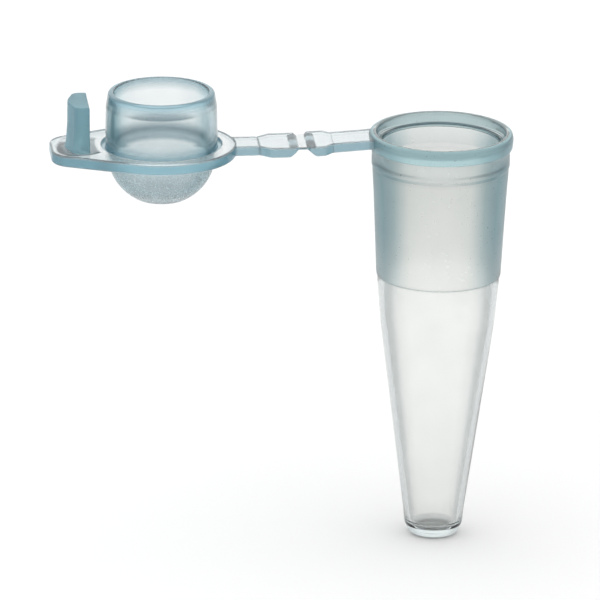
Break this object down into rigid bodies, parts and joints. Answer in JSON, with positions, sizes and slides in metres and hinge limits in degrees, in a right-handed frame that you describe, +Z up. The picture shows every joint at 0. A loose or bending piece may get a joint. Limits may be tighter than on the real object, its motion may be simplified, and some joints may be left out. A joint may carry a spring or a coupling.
{
  "type": "snap-cap reaction tube",
  "caption": "Small conical thin-walled tube with a collared mouth, open, joined by a flat living-hinge strap to a domed plug cap with a thumb tab and an upright prong.",
  "frame": {"origin": "centre of the tube's flat base", "axes": "+Z up the tube's axis towards its mouth; the strap and the open cap lie towards -X"},
  "size_m": [0.0228, 0.0074, 0.0229],
  "materials": {
    "frosted": "frosted translucent",
    "clear": "clear, smooth",
    "strap": "satin translucent",
    "cap": "satin translucent"
  },
  "bodies": {
    "tube": {"rim_lip": "frosted", "rim_collar": "frosted", "sealing_land": "frosted", "frosted_barrel": "frosted", "barrel_shoulder": "clear", "clear_cone": "clear", "cone_base": "clear"},
    "strap_arm": {"strap_arm": "strap", "hinge_pad_tube_side": "strap", "hinge_web": "strap"},
    "strap_leaf": {"hinge_pad_cap_side": "strap", "crease_web": "strap"},
    "cap": {"cap_strap_end": "strap", "cap_flange": "cap", "thumb_tab": "cap", "tab_prong": "cap", "plug_root": "cap", "plug_wall": "cap", "plug_lip": "cap", "dome_wall": "cap", "dome_floor": "cap"}
  },
  "joints": [
    {"name": "strap_root_flex", "type": "hinge", "parent": "tube", "child": "strap_arm", "pos_m": [-0.00362, 0, 0.02031], "axis": [0, 1, 0], "range_deg": [-20, 4.4], "stiffness_Nm_per_rad": 0.002},
    {"name": "living_hinge_fold", "type": "hinge", "parent": "strap_arm", "child": "strap_leaf", "pos_m": [-0.00688, 0, 0.02039], "axis": [0.0004, 1, -0.005], "range_deg": [-50, 176.6], "stiffness_Nm_per_rad": 0.0004, "deforming": ["hinge_web"]},
    {"name": "cap_crease_flex", "type": "hinge", "parent": "strap_leaf", "child": "cap", "pos_m": [-0.009, 0, 0.02003], "axis": [0.0005, 0.9999, -0.0101], "range_deg": [-22, 0], "stiffness_Nm_per_rad": 0.002, "deforming": ["crease_web"]}
  ]
}
